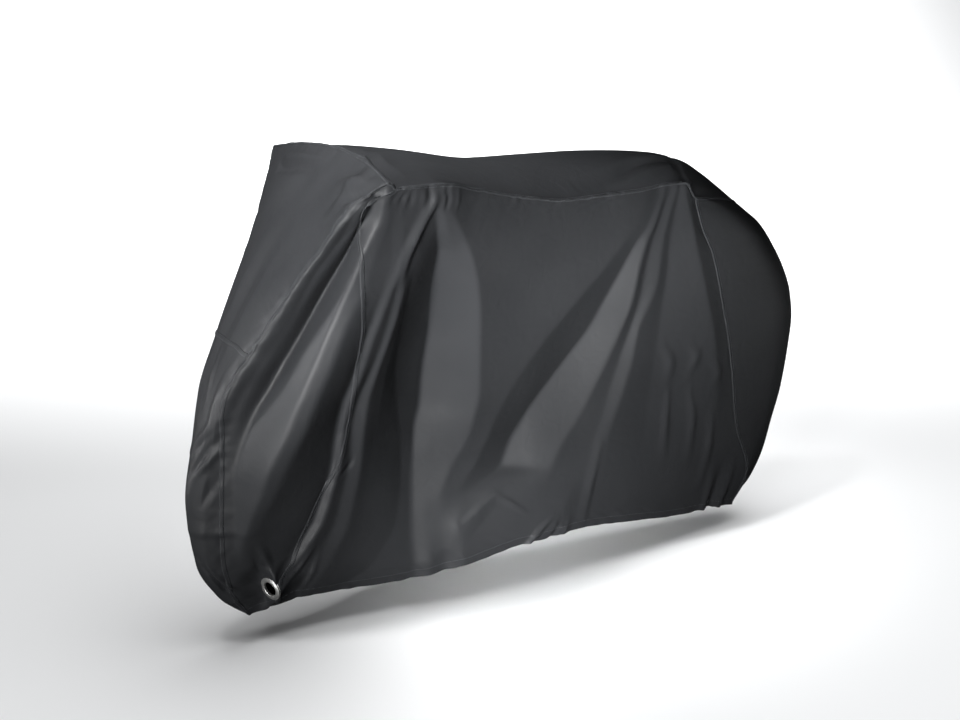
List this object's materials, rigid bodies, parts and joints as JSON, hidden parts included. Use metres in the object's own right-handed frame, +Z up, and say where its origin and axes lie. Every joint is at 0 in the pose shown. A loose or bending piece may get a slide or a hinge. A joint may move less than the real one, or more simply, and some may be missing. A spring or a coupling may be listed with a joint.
{
  "type": "bicycle cover",
  "caption": "Fitted waterproof cover in the folds it takes over an upright bicycle, hollow and open below, with an eyelet low at each side of its front.",
  "frame": {"origin": "inside the top, at the point where the saddle carries the cover", "axes": "+X towards the rear of the bicycle, +Y towards its right side, +Z up"},
  "size_m": [1.7196, 0.6305, 1.07],
  "materials": {
    "coated_cloth": "satin, fine plain weave with a water-repellent coating",
    "eyelet_metal": "bright nickel plate, rolled edge"
  },
  "bodies": {
    "root": {"top_panel": "coated_cloth", "front_panel_upper": "coated_cloth", "front_panel_lower": "coated_cloth", "side_front_left": "coated_cloth", "side_front_right": "coated_cloth", "side_panel_left": "coated_cloth", "side_panel_right": "coated_cloth", "rear_panel": "coated_cloth", "eyelet_strip_left": "coated_cloth", "eyelet_strip_right": "coated_cloth", "eyelet_left": "eyelet_metal", "eyelet_right": "eyelet_metal"}
  },
  "joints": []
}
